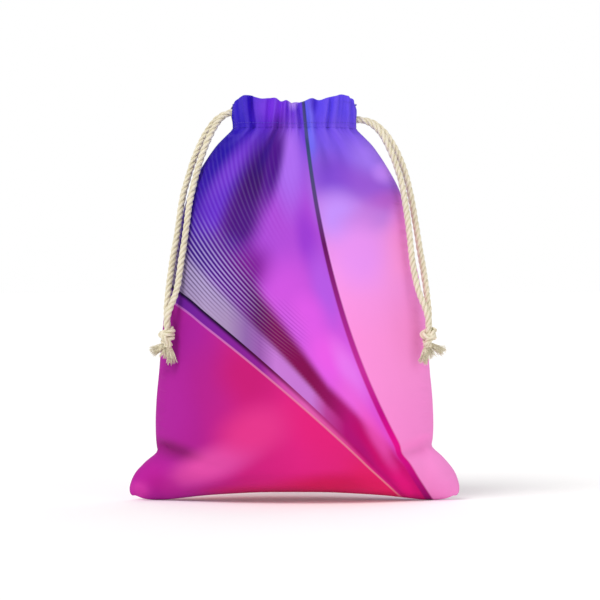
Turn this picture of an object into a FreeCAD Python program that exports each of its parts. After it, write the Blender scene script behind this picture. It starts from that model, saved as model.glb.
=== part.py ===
"""Drawstring sack: two sewn cloth panels, a gathered hem with two channels, and two knotted cord loops.

Millimetres, +Z up, the front faces -Y. The origin is on the floor under the middle of the bag, which
stands on its base. Cloth is drawn 2 mm thick so that every wall is a sound closed solid.
"""

import FreeCAD, Part
import math
import os

V = FreeCAD.Vector

# driving dimensions
CLOTH = 2.0  # wall of the cloth solids
EAR_FLAP = 13.0  # half thickness of the sewn corners
BULGE_HALF_WIDTH = 243.0  # where the filled part of the base ends and the corners begin
BASE_SEAM_HALF_LENGTH = 226.0
NECK_Z = 668.0  # the stitching that closes the bottom of the hem channels
HEM_TOP_Z = 726.0
CORD_D = 11.0
CORD_GAP = 7.0  # each strand's distance from the side seam plane where it leaves the hem
CHANNEL_Y = 37.2  # the cords' line inside the hem, from the seam plane
CHANNEL_BOTTOM_Z = 677.0
CHANNEL_TOP_Z = 704.0
FACING_Y = 29.0  # half of the mouth's width, between the two inner layers of the hem
FACING_HALF_LENGTH = 34.0
EXIT_X = 112.2  # where the cords come out of the hem
LEFT_CORD_Z = 697.0  # the two cords pass through the channels one above the other
RIGHT_CORD_Z = 684.5
RUN_JOIN_X = 86.0  # the run in the hem meets the straight exit run here
CLEAR = 0.3  # gap between pieces that move against each other
SEAM_WIDTH = 11.0  # sewn allowance inside the side and bottom edges
SEAM_HALF_THICKNESS = 0.8
SEAM_CLEAR = 1.5  # between the sewn allowance and the cloth round it
KNOT_R = 15.5
KNOT_TOP_Z = 312.0
KNOT_HEIGHT = 34.0
KNOT_FACET_R = 12.0
PROFILE_STEPS = 18

# height, half width, half depth, roundness exponent and edge exponent of each level section
SECTIONS = [
    (0.0, 262.0, 70.0, 2.2, 0.75),
    (9.0, 288.0, 86.0, 2.2, 0.75),
    (22.0, 297.0, 97.0, 2.2, 0.75),
    (40.0, 293.0, 107.0, 2.2, 0.75),
    (58.0, 283.0, 113.0, 2.2, 0.75),
    (76.0, 266.0, 118.0, 2.2, 0.75),
    (98.0, 250.0, 121.0, 2.2, 0.75),
    (135.0, 249.0, 124.0, 2.2, 0.75),
    (190.0, 247.0, 126.0, 2.2, 0.75),
    (250.0, 241.0, 124.0, 2.2, 0.75),
    (310.0, 237.0, 121.0, 2.2, 0.75),
    (370.0, 229.0, 116.0, 2.2, 0.75),
    (430.0, 215.0, 108.0, 2.2, 0.75),
    (490.0, 205.0, 99.0, 2.2, 0.74),
    (545.0, 192.0, 87.0, 2.2, 0.72),
    (594.0, 169.0, 75.0, 2.3, 0.66),
    (630.0, 146.0, 64.0, 2.4, 0.58),
    (654.0, 121.0, 56.0, 2.6, 0.52),
    (NECK_Z, 111.0, 52.0, 2.6, 0.5),
]
COLLAR = [
    (NECK_Z, 111.0, 52.0, 2.6, 0.5),
    (680.0, 112.5, 53.0, 2.6, 0.5),
    (697.0, 113.5, 54.0, 2.6, 0.5),
    (712.0, 110.0, 52.0, 2.6, 0.5),
    (HEM_TOP_Z, 101.0, 46.0, 2.6, 0.5),
]

# cord routes, from the pivot where each strand leaves the hem down to its knot
LEFT_FRONT_ROUTE = [
    V(-118, -7, 697), V(-136, -9, 684), V(-153, -13, 655), V(-170, -18, 607), V(-186, -27, 548),
    V(-194, -35, 485), V(-202, -41, 427), V(-209, -49, 378), V(-224, -55, 340), V(-227, -55.6, 325),
    V(-227, -55.6, 312),
]
LEFT_BACK_ROUTE = [
    V(-118, 7, 697), V(-140, 8, 688), V(-161, 7, 660), V(-181, 2, 615), V(-200, -8, 552),
    V(-209, -15, 488), V(-219, -20, 427), V(-226, -29, 377), V(-228, -42, 341), V(-227, -44.4, 325),
    V(-227, -44.4, 312),
]
RIGHT_FRONT_ROUTE = [
    V(118, -7, 684.5), V(138, -9, 678), V(159, -13, 656), V(179, -18, 614), V(195, -27, 560),
    V(204, -35, 490), V(210, -42, 432), V(218, -49, 382), V(235, -55, 342), V(239, -55.6, 326),
    V(239, -55.6, 312),
]
RIGHT_BACK_ROUTE = [
    V(118, 7, 684.5), V(142, 8, 681), V(168, 7, 657), V(190, 2, 617), V(207, -8, 562),
    V(218, -15, 492), V(228, -20, 432), V(236, -29, 380), V(240, -42, 342), V(239, -44.4, 326),
    V(239, -44.4, 312),
]
LEFT_KNOT = V(-227, -50, KNOT_TOP_Z)
RIGHT_KNOT = V(239, -50, KNOT_TOP_Z)


def half_profile(half_width, half_depth, roundness, edge, front, flap):
    """One panel's outline at one level: a crowned curve between the two side seams."""
    points = []
    for step in range(PROFILE_STEPS + 1):
        angle = math.pi * (step / PROFILE_STEPS - 0.5)
        x = half_width * math.sin(angle)
        reach = min(half_width, BULGE_HALF_WIDTH) if flap else half_width
        bulge = half_depth * max(0.0, 1 - abs(x / reach) ** roundness) ** edge
        thin = EAR_FLAP * max(0.0, 1 - abs(x / half_width) ** 6) ** 0.5 if flap else 0.0
        depth = (bulge ** 3 + thin ** 3) ** (1 / 3)
        points.append((x, -depth if front else depth))
    return points


def half_loft(levels, inset, front):
    """A solid half of the bag on one side of the seam plane, through every level section."""
    wires = []
    for z, half_width, half_depth, roundness, edge in levels:
        flap = z < 90 and half_width > BULGE_HALF_WIDTH
        points = half_profile(half_width - inset, half_depth - inset, roundness, edge, front, flap)
        curve = Part.BSplineCurve()
        curve.interpolate([V(x, y, z) for x, y in points])
        chord = Part.LineSegment(V(points[-1][0], 0, z), V(points[0][0], 0, z))
        wires.append(Part.Wire([curve.toShape(), chord.toShape()]))
    return Part.makeLoft(wires, True, False)


def raised(levels):
    """The same levels with the lowest one lifted by the cloth, for the inside of the bag."""
    first = levels[0]
    return [(first[0] + CLOTH,) + first[1:]] + levels[1:]


def panel(front):
    """A cloth panel from the bottom seam to the neck stitching, open at the neck."""
    top = SECTIONS[-1]
    inner_levels = raised(SECTIONS)[:-1] + [(top[0] + 1,) + top[1:]]
    return half_loft(SECTIONS, 0.0, front).cut(half_loft(inner_levels, CLOTH, front))


def block(x_low, x_high, y_low, y_high, z_low, z_high):
    return Part.makeBox(x_high - x_low, y_high - y_low, z_high - z_low, V(x_low, y_low, z_low))


def hem_casing(front):
    """The folded hem of one panel: an outer layer, an inner facing and the channel between them."""
    side = -1 if front else 1
    outer = half_loft(COLLAR, 0.0, front)
    tall = [(COLLAR[0][0] - 1,) + COLLAR[0][1:]] + COLLAR[1:-1] + [(HEM_TOP_Z + 1,) + COLLAR[-1][1:]]
    hollow = half_loft(tall, CLOTH, front)
    near = FACING_Y * side
    far = (CHANNEL_Y + 14) * side
    low, high = min(near, far), max(near, far)
    lining = block(-FACING_HALF_LENGTH, FACING_HALF_LENGTH, low, high, NECK_Z - 2, HEM_TOP_Z + 2)
    folded = outer.cut(hollow.cut(lining))
    channel_near = (FACING_Y + CLOTH) * side
    low, high = min(channel_near, far), max(channel_near, far)
    tunnel = block(-FACING_HALF_LENGTH - 1, FACING_HALF_LENGTH + 1, low, high,
                   CHANNEL_BOTTOM_Z, CHANNEL_TOP_Z).common(hollow)
    slot_half = CORD_GAP + CORD_D / 2 + 1.5
    slots = [block(-130, -90, -slot_half, slot_half, CHANNEL_BOTTOM_Z, CHANNEL_TOP_Z),
             block(90, 130, -slot_half, slot_half, CHANNEL_BOTTOM_Z, CHANNEL_TOP_Z)]
    return folded.cut(tunnel).cut(Part.makeCompound(slots)).removeSplitter()


def side_seam(side):
    """Sewn allowance inside one side edge, a strip that follows the edge from a corner to the neck."""
    levels = SECTIONS[3:-2]
    curves = []
    for inset in (CLOTH + SEAM_CLEAR, CLOTH + SEAM_CLEAR + SEAM_WIDTH):
        curve = Part.BSplineCurve()
        curve.interpolate([V(side * (level[1] - inset), -SEAM_HALF_THICKNESS, level[0]) for level in levels])
        curves.append(curve)
    outer, inner = curves
    foot = Part.LineSegment(outer.StartPoint, inner.StartPoint)
    head = Part.LineSegment(outer.EndPoint, inner.EndPoint)
    edges = [outer.toShape(), head.toShape(), inner.toShape(), foot.toShape()]
    outline = Part.Wire(Part.__sortEdges__(edges))
    return Part.Face(outline).extrude(V(0, 2 * SEAM_HALF_THICKNESS, 0))


def bottom_seam():
    """Sewn allowance along the bottom seam, standing up inside the base."""
    low = CLOTH + SEAM_CLEAR
    return block(-BASE_SEAM_HALF_LENGTH, BASE_SEAM_HALF_LENGTH, -SEAM_HALF_THICKNESS,
                 SEAM_HALF_THICKNESS, low, low + SEAM_WIDTH)


def stitches(front, level, count, half_span):
    """A row of short raised stitches round the front or back of the gathered neck."""
    z, half_width, half_depth, roundness, edge = level
    side = -1 if front else 1
    solids = []
    for index in range(count):
        x = half_span * (2 * index / (count - 1) - 1)
        depth = half_depth * (1 - abs(x / half_width) ** roundness) ** edge
        step = 0.5
        ahead = half_depth * (1 - abs((x + step) / half_width) ** roundness) ** edge
        turn = math.degrees(math.atan2(side * (ahead - depth), step))
        stitch = Part.makeBox(3.6, 1.2, 0.9, V(-1.8, -0.6, -0.45))
        stitch.rotate(V(0, 0, 0), V(0, 0, 1), turn)
        stitch.translate(V(x, side * depth, z))
        solids.append(stitch)
    return Part.makeCompound(solids)


def bar_tacks():
    """Dense tacks across each side seam, under and over the cord openings."""
    solids = []
    for side in (-1, 1):
        for z in (CHANNEL_BOTTOM_Z - 3.5, CHANNEL_TOP_Z + 3.5):
            bar = block(-1.2, 1.2, -9, 9, -1.5, 1.5)
            reach = 111.6 if z < 690 else 111.9
            bar.translate(V(side * reach, 0, z))
            solids.append(bar)
    return Part.makeCompound(solids)


def rounded_path(route, name):
    """Straight runs joined by tangent arcs, each as large as its two runs allow."""
    edges = []
    radii = []
    start = route[0]
    for before, corner, after in zip(route, route[1:], route[2:]):
        arrive = corner.sub(before)
        leave = after.sub(corner)
        shorter = min(arrive.Length, leave.Length)
        arrive.normalize()
        leave.normalize()
        turn = math.acos(max(-1.0, min(1.0, arrive.dot(leave))))
        reach = 0.45 * shorter
        radii.append(reach / math.tan(turn / 2))
        first = corner.sub(arrive * reach)
        last = corner.add(leave * reach)
        middle_way = leave.sub(arrive)
        middle_way.normalize()
        middle = corner.add(middle_way * (reach * math.tan(turn / 2) / (1 + 1 / math.cos(turn / 2))))
        edges.append(Part.LineSegment(start, first).toShape())
        edges.append(Part.Arc(first, middle, last).toShape())
        start = last
    edges.append(Part.LineSegment(start, route[-1]).toShape())
    wire = Part.Wire(edges)
    print(name, "radii", [round(radius) for radius in radii], "length", round(wire.Length))
    return wire


def tube(route, name):
    """A round cord along a rounded path."""
    path = rounded_path(route, name)
    direction = route[1].sub(route[0])
    ring = Part.Wire([Part.makeCircle(CORD_D / 2, route[0], direction)])
    solid = path.makePipeShell([ring], True, False, 0)
    expected = path.Length * math.pi * CORD_D ** 2 / 4
    print(name, "volume against section times length", round(solid.Volume / expected, 3))
    return solid


def casing_route(side, z):
    """The cord's line inside the hem, in through the front channel, round and back."""
    away = [(-RUN_JOIN_X, CORD_GAP), (-78, CORD_GAP), (-65, 15.5), (-59, 29.5), (-46, CHANNEL_Y)]
    bend = [(72, -CHANNEL_Y), (93.5, -15.5), (93.5, 15.5), (72, CHANNEL_Y)]
    front = [(-20, -CHANNEL_Y - 0.7), (18, -CHANNEL_Y), (50, -CHANNEL_Y - 0.4)]
    back = [(46, CHANNEL_Y + 0.5), (12, CHANNEL_Y), (-22, CHANNEL_Y + 0.6)]
    points = [(x, -y) for x, y in away] + front + bend + back + away[::-1]
    return [V(-side * x, y, z) for x, y in points]


def exit_runs(side, z):
    """The two short straight lengths that slide in the side opening of the hem."""
    solids = []
    for y in (-CORD_GAP, CORD_GAP):
        start = V(side * (RUN_JOIN_X + CLEAR), y, z)
        solids.append(Part.makeCylinder(CORD_D / 2, EXIT_X - RUN_JOIN_X - CLEAR, start, V(side, 0, 0)))
    return Part.makeCompound(solids)


def strand(route, name):
    """A hanging strand, with a round end on the pivot where it leaves the hem."""
    ball = Part.makeSphere(CORD_D / 2, route[0])
    return tube(route, name).fuse(ball).removeSplitter()


def knot(top):
    """An overhand knot: a rounded barrel with two turns of cord across it."""
    bottom_z = top.z - KNOT_HEIGHT
    waist = KNOT_R - 4.5
    outline = Part.BSplineCurve()
    outline.interpolate([
        V(KNOT_FACET_R - 1, 0, top.z), V(KNOT_R - 1.5, 0, top.z - 6), V(KNOT_R - 1, 0, top.z - 14),
        V(waist, 0, top.z - 21), V(KNOT_R - 3, 0, top.z - 28), V(KNOT_FACET_R - 3, 0, bottom_z),
    ])
    edges = [
        Part.LineSegment(V(0, 0, top.z), V(KNOT_FACET_R - 1, 0, top.z)).toShape(),
        outline.toShape(),
        Part.LineSegment(V(KNOT_FACET_R - 3, 0, bottom_z), V(0, 0, bottom_z)).toShape(),
        Part.LineSegment(V(0, 0, bottom_z), V(0, 0, top.z)).toShape(),
    ]
    barrel = Part.Face(Part.Wire(edges)).revolve(V(0, 0, 0), V(0, 0, 1), 360)
    turn = Part.makeTorus(KNOT_R - CORD_D / 2, CORD_D / 2, V(0, 0, 0), V(0, 0, 1))
    turn.rotate(V(0, 0, 0), V(0, 1, 0), 24)
    turn.translate(V(0, 0, top.z - 13))
    body = barrel.fuse(turn)
    body.translate(V(top.x, top.y, 0))
    return body.removeSplitter()


def cord_ends(top, side):
    """The two frayed ends under the knot, each widening to its cut."""
    bottom = V(top.x, top.y, top.z - KNOT_HEIGHT)
    solids = []
    for start, way, length, spread in (
        (V(side * 4.5, 4, -0.4), V(side * 30, 4, -13), 30.0, 9.0),
        (V(-side * 3.5, -4.5, -0.4), V(-side * 9, -4, -34), 31.0, 7.0),
    ):
        way.normalize()
        solids.append(Part.makeCone(3.6, spread, length + 10, bottom.add(start).sub(way * 5), way))
    low = block(-80, 80, -80, 80, -60, 0)
    low.translate(bottom)
    return Part.makeCompound([solid.common(low) for solid in solids])


def write(name, shape):
    shape.exportStep(f"parts/{name}.step")
    print(name, "solids", len(shape.Solids), "volume cm3", round(shape.Volume / 1000, 1), shape.isValid())


def main():
    os.makedirs("parts", exist_ok=True)
    write("front_panel", panel(True))
    write("back_panel", panel(False))
    write("front_hem_casing", hem_casing(True))
    write("back_hem_casing", hem_casing(False))
    write("left_side_seam", side_seam(-1))
    write("right_side_seam", side_seam(1))
    write("bottom_seam", bottom_seam())
    write("front_hem_stitching", stitches(True, COLLAR[0], 32, 100.0))
    write("back_hem_stitching", stitches(False, COLLAR[0], 32, 100.0))
    write("side_bar_tacks", bar_tacks())
    cords = (
        ("left", -1, LEFT_CORD_Z, LEFT_FRONT_ROUTE, LEFT_BACK_ROUTE, LEFT_KNOT),
        ("right", 1, RIGHT_CORD_Z, RIGHT_FRONT_ROUTE, RIGHT_BACK_ROUTE, RIGHT_KNOT),
    )
    for name, side, z, front_route, back_route, knot_top in cords:
        write(f"{name}_cord_in_casing", tube(casing_route(side, z), f"{name}_cord_in_casing"))
        write(f"{name}_cord_exit_run", exit_runs(side, z))
        write(f"{name}_cord_front_strand", strand(front_route, f"{name}_cord_front_strand"))
        write(f"{name}_cord_back_strand", strand(back_route, f"{name}_cord_back_strand"))
        write(f"{name}_knot", knot(knot_top))
        write(f"{name}_cord_ends", cord_ends(knot_top, side))


main()
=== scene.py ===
# A gathered drawstring sack: two printed cloth panels, a ruffled hem and two knotted cotton cord loops.
import math
import random

import bpy
import numpy as np
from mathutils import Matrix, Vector


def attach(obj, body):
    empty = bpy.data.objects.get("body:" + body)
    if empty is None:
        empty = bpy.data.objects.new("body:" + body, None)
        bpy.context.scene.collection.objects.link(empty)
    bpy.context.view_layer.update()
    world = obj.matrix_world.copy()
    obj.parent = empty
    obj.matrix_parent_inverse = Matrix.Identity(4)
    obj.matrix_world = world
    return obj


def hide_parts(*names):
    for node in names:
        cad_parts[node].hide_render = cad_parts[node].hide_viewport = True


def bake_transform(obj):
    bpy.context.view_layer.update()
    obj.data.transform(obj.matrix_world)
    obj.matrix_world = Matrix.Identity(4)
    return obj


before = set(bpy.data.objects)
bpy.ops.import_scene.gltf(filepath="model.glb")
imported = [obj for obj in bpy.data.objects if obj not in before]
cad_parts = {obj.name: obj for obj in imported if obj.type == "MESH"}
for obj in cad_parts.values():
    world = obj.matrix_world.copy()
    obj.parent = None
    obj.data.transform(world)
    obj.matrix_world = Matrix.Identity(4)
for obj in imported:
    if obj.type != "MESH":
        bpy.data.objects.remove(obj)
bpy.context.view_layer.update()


studio = {
    "cameraDistance": 5.0, "lens": 166.7, "aim": (0.0099, 0.0, 0.36), "cameraTilt": 0.5,
    "floorRadius": 60.0, "floorGlow": 0.09, "roomLight": 0.5, "roomSeen": 1.0,
    "lamps": [("softKey", (-0.75, -0.95, 1.4), 1.42, 30), ("softFill", (1.0, -0.9, 0.45), 0.5, 60),
              ("softBack", (0.3, 1.0, 1.0), 0.45, 60)],
}


def buildStudio():
    scene = bpy.context.scene
    scene.view_settings.view_transform = "Standard"
    tilt = math.radians(studio["cameraTilt"])
    aim = Vector(studio["aim"])
    data = bpy.data.cameras.new("studioCamera")
    data.lens = studio["lens"]
    data.clip_end = 200
    camera = bpy.data.objects.new("studioCamera", data)
    camera.location = aim + studio["cameraDistance"] * Vector((0, -math.cos(tilt), math.sin(tilt)))
    camera.rotation_euler = (math.pi / 2 - tilt, 0, 0)
    scene.collection.objects.link(camera)
    scene.camera = camera

    # the room lights the bag softly and is seen as plain white
    world = bpy.data.worlds.new("paleRoom")
    world.use_nodes = True
    tree = world.node_tree
    seen = addNode(tree, "LightPath").outputs["Is Camera Ray"]
    strength = addNode(tree, "MapRange", {
        "Value": seen, "To Min": studio["roomLight"], "To Max": studio["roomSeen"]})
    background = tree.nodes["Background"]
    background.inputs["Color"].default_value = (1, 1, 1, 1)
    tree.links.new(strength.outputs["Result"], background.inputs["Strength"])
    scene.world = world

    # broad soft lamps, set as suns so that the floor is evenly lit
    for name, heading, strength, spread in studio["lamps"]:
        light = bpy.data.lights.new(name, "SUN")
        light.energy = strength
        light.angle = math.radians(spread)
        lamp = bpy.data.objects.new(name, light)
        lamp.rotation_euler = (-Vector(heading)).to_track_quat("-Z", "Y").to_euler()
        scene.collection.objects.link(lamp)

    bpy.ops.object.select_all(action="DESELECT")
    bpy.ops.mesh.primitive_circle_add(vertices=64, radius=studio["floorRadius"], fill_type="NGON")
    floor = bpy.context.object
    floor.name = "studioFloor"
    floor.data.materials.append(paleFloor())


def tint(hexColour):
    channels = [int(hexColour[n:n + 2], 16) / 255 for n in (0, 2, 4)]
    linear = [c / 12.92 if c <= 0.04045 else ((c + 0.055) / 1.055) ** 2.4 for c in channels]
    return (*linear, 1.0)


def fillInputs(node, inputs):
    # a socket is linked, and anything else becomes the input's own value
    for name, value in inputs.items():
        if isinstance(value, bpy.types.NodeSocket):
            node.id_data.links.new(value, node.inputs[name])
        else:
            node.inputs[name].default_value = value


def addNode(tree, kind, inputs=None, stops=(), **settings):
    # one node with its ramp stops if it has any, its settings, and its values or links
    node = tree.nodes.new("ShaderNode" + kind)
    for number, (place, colour) in enumerate(stops):
        elements = node.color_ramp.elements
        element = elements[number] if number < 2 else elements.new(place)
        element.position = place
        element.color = tint(colour)
    for name, value in settings.items():
        setattr(node, name, value)
    fillInputs(node, inputs or {})
    return node


def waves(tree, value, period):
    # a sine wave along a value, once in each period
    turn = addNode(tree, "Math", {0: value, 1: 2 * math.pi / period}, operation="MULTIPLY")
    return addNode(tree, "Math", {0: turn.outputs[0]}, operation="SINE").outputs[0]


def newMaterial(name):
    material = bpy.data.materials.new(name)
    material.use_nodes = True
    tree = material.node_tree
    return material, tree, tree.nodes["Principled BSDF"]


def paleFloor():
    # matt painted studio floor, faintly mottled, with a little light of its own to match the room's white
    material, tree, shader = newMaterial("mattPaintedFloor")
    place = addNode(tree, "TexCoord").outputs["Object"]
    mottle = addNode(tree, "TexNoise", {"Vector": place, "Scale": 3, "Detail": 4})
    colour = addNode(tree, "ValToRGB", {"Fac": mottle.outputs["Fac"]},
                     stops=[(0.3, "FCFBFA"), (0.7, "FFFEFD")])
    fillInputs(shader, {"Base Color": colour.outputs["Color"], "Roughness": 0.9, "Specular IOR Level": 0.2,
                        "Emission Color": (1, 1, 1, 1), "Emission Strength": studio["floorGlow"]})
    return material


buildStudio()
print("studio ready")


def nurbsLine(points, step):
    # a smooth line led by the route's points, read back at even steps
    curve = bpy.data.curves.new("routeLine", "CURVE")
    curve.dimensions = "3D"
    spline = curve.splines.new("NURBS")
    spline.points.add(len(points) - 1)
    for knot, point in zip(spline.points, points):
        knot.co = (*point, 1.0)
    spline.order_u = 3
    spline.use_endpoint_u = True
    spline.resolution_u = 24
    holder = bpy.data.objects.new("routeLine", curve)
    bpy.context.scene.collection.objects.link(holder)
    mesh = bpy.data.meshes.new_from_object(holder)
    line = np.array([tuple(v.co) for v in mesh.vertices])
    bpy.data.objects.remove(holder)
    bpy.data.curves.remove(curve)
    bpy.data.meshes.remove(mesh)
    return evenLine(line, step)


def travelAlong(line):
    return np.concatenate([[0], np.cumsum(np.linalg.norm(np.diff(line, axis=0), axis=1))])


def evenLine(line, step):
    travel = travelAlong(line)
    stops = np.linspace(0, travel[-1], max(3, round(travel[-1] / step) + 1))
    return np.stack([np.interp(stops, travel, line[:, axis]) for axis in range(3)], axis=1)


def lineLength(line):
    return float(travelAlong(line)[-1])


def sideVectors(line):
    ahead = np.gradient(line, axis=0)
    ahead /= np.linalg.norm(ahead, axis=1)[:, None]
    first = np.cross(ahead[0], (0.31, 0.86, 0.4))
    sides = [first / np.linalg.norm(first)]
    for direction in ahead[1:]:
        side = sides[-1] - direction * np.dot(sides[-1], direction)
        sides.append(side / np.linalg.norm(side))
    sides = np.array(sides)
    return sides, np.cross(ahead, sides)


def newShell():
    return {"verts": [], "faces": [], "corners": [], "depth": []}


def addTube(shell, line, radii, ring, lane=0.0, axis=None, reach=1.0):
    # one closed tube; "depth" keeps how far each point stands from the cord's own axis
    sides, ups = sideVectors(line)
    count = len(line)
    turn = np.arange(ring) * 2 * math.pi / ring
    radii = np.broadcast_to(radii, (count,))
    spread = np.cos(turn)[None, :, None] * sides[:, None] + np.sin(turn)[None, :, None] * ups[:, None]
    points = line[:, None] + radii[:, None, None] * spread
    middle = line if axis is None else axis
    depth = np.linalg.norm(points - middle[:, None], axis=2) / reach
    travel = travelAlong(line)
    start = len(shell["verts"])
    shell["verts"].extend(points.reshape(-1, 3).tolist() + [line[0].tolist(), line[-1].tolist()])
    shell["depth"].extend(depth.reshape(-1).tolist() + [0.5, 0.5])
    for n in range(count - 1):
        for j in range(ring):
            a, b = start + n * ring + j, start + n * ring + (j + 1) % ring
            shell["faces"].append((a, b, b + ring, a + ring))
            low, high = lane + j / ring, lane + (j + 1) / ring
            near, far = travel[n], travel[n + 1]
            shell["corners"].extend([(near, low), (near, high), (far, high), (far, low)])
    for pole, row, flip in ((count * ring, 0, True), (count * ring + 1, count - 1, False)):
        for j in range(ring):
            a, b = start + row * ring + j, start + row * ring + (j + 1) % ring
            shell["faces"].append((start + pole, b, a) if flip else (start + pole, a, b))
            shell["corners"].extend([(travel[row], lane + 0.5)] * 3)


def linkPiece(name, mesh, materials):
    mesh.shade_smooth()
    for material in materials:
        mesh.materials.append(material)
    piece = bpy.data.objects.new(name, mesh)
    bpy.context.scene.collection.objects.link(piece)
    return piece


def layFlat(mesh, label, corners):
    # a named UV map, given one place for each corner of each face
    uv = mesh.uv_layers.new(name=label)
    uv.data.foreach_set("uv", np.array(corners, dtype=np.float32).reshape(-1))


def shellPiece(name, shell, material):
    mesh = bpy.data.meshes.new(name)
    mesh.from_pydata(shell["verts"], [], shell["faces"])
    layFlat(mesh, "alongCord", shell["corners"])
    depth = mesh.attributes.new("plyDepth", "FLOAT", "POINT")
    depth.data.foreach_set("value", np.array(shell["depth"], dtype=np.float32))
    return linkPiece(name, mesh, [material])


rope = {
    "diameter": 0.011, "plyRadius": 0.00325, "plyOffset": 0.00272, "lay": 0.036,
    "ring": 12, "step": 0.0024, "yarns": 7, "yarnTurn": 0.026,
}


def twistedCotton():
    # loosely laid undyed cotton: three soft plies of fine yarns, with painted shade darkening the grooves
    material, tree, shader = newMaterial("twistedCotton")
    place = addNode(tree, "UVMap", uv_map="alongCord").outputs["UV"]
    spot = addNode(tree, "TexCoord").outputs["Object"]
    # painted shade: points near the cord's axis, down in the grooves, get the darker end of the ramp
    shade = addNode(tree, "Attribute", attribute_name="plyDepth").outputs["Fac"]
    split = addNode(tree, "SeparateXYZ", {"Vector": place})
    # the yarns of a ply wind round it, once in each yarnTurn
    phase = addNode(tree, "Math", {
        0: split.outputs["X"], 1: 1 / rope["yarnTurn"], 2: split.outputs["Y"]},
        operation="MULTIPLY_ADD")
    yarn = waves(tree, phase.outputs[0], 1 / rope["yarns"])
    fluff = addNode(tree, "TexNoise", {"Vector": spot, "Scale": 900, "Detail": 5}).outputs["Fac"]
    patchy = addNode(tree, "TexNoise", {"Vector": spot, "Scale": 130, "Detail": 3}).outputs["Fac"]
    for value, share in ((yarn, 0.075), (fluff, 0.22), (patchy, 0.34)):
        shade = addNode(tree, "Math", {0: value, 1: share, 2: shade},
                        operation="MULTIPLY_ADD").outputs[0]
    shade = addNode(tree, "MapRange", {"Value": shade, "From Min": 0.62, "From Max": 1.32})
    colour = addNode(tree, "ValToRGB", {"Fac": shade.outputs["Result"]}, stops=[
        (0, "A59876"), (0.3, "CCC09C"), (0.62, "DFD5B6"), (1, "F3EAD2")])
    height = addNode(tree, "Math", {0: fluff, 1: 0.6, 2: yarn}, operation="MULTIPLY_ADD")
    bump = addNode(tree, "Bump", {
        "Height": height.outputs[0], "Strength": 0.55, "Distance": 0.0004})
    fillInputs(shader, {"Base Color": colour.outputs["Color"], "Normal": bump.outputs["Normal"],
                        "Roughness": 0.88, "Sheen Weight": 0.25, "Specular IOR Level": 0.25})
    return material


def frayedCotton():
    # the same yarns combed open, paler and finer at the tips
    material, tree, shader = newMaterial("frayedCotton")
    spot = addNode(tree, "TexCoord").outputs["Object"]
    streak = addNode(tree, "TexNoise", {"Vector": spot, "Scale": 420, "Detail": 4})
    colour = addNode(tree, "ValToRGB", {"Fac": streak.outputs["Fac"]}, stops=[
        (0.28, "BFB290"), (0.5, "E4DBBE"), (0.72, "F6F0DC")])
    fillInputs(shader, {"Base Color": colour.outputs["Color"], "Roughness": 0.92, "Sheen Weight": 0.3,
                        "Specular IOR Level": 0.2})
    return material


def plainCotton():
    # the same cotton where it lies inside the hem: slanting plies read from object space
    material, tree, shader = newMaterial("twistedCottonInHem")
    place = addNode(tree, "TexCoord").outputs["Object"]
    slant = addNode(tree, "Mapping", {"Vector": place, "Rotation": (0, math.radians(40), 0)})
    plies = addNode(tree, "TexWave", {
        "Vector": slant.outputs["Vector"], "Scale": 36, "Distortion": 1.2, "Detail": 2}).outputs["Fac"]
    # painted shade: the ramp darkens the troughs of the same wave that makes the bump, the grooves between
    # the plies
    colour = addNode(tree, "ValToRGB", {"Fac": plies}, stops=[
        (0.1, "9C8F6E"), (0.5, "D3C8A6"), (0.9, "EEE5CC")])
    bump = addNode(tree, "Bump", {"Height": plies, "Strength": 0.7, "Distance": 0.001})
    fillInputs(shader, {"Base Color": colour.outputs["Color"], "Normal": bump.outputs["Normal"],
                        "Roughness": 0.9})
    return material


cottonLook = twistedCotton()
frayLook = frayedCotton()


def layRope(shell, line, scale=1.0, startAngle=0.0, ring=None):
    # three plies wound round the line, their lay and fullness a little uneven
    sides, ups = sideVectors(line)
    travel = travelAlong(line)
    wander = 0.5 * np.sin(travel / 0.033 + startAngle) + 0.35 * np.sin(travel / 0.0127 + 2 * startAngle)
    for ply in range(3):
        angle = startAngle + 2 * math.pi * (ply / 3 + travel / rope["lay"]) + 0.35 * wander
        swell = 1 + 0.07 * np.sin(travel / 0.0091 + 2.1 * ply + startAngle)
        swell += 0.04 * np.sin(travel / 0.0047 + ply)
        offset = rope["plyOffset"] * scale * (1 + 0.06 * np.sin(travel / 0.017 + ply))
        spiral = line + offset[:, None] * (np.cos(angle)[:, None] * sides + np.sin(angle)[:, None] * ups)
        addTube(shell, spiral, rope["plyRadius"] * scale * swell, ring or rope["ring"], lane=float(ply),
                axis=line, reach=(rope["plyOffset"] + rope["plyRadius"]) * scale)


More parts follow.
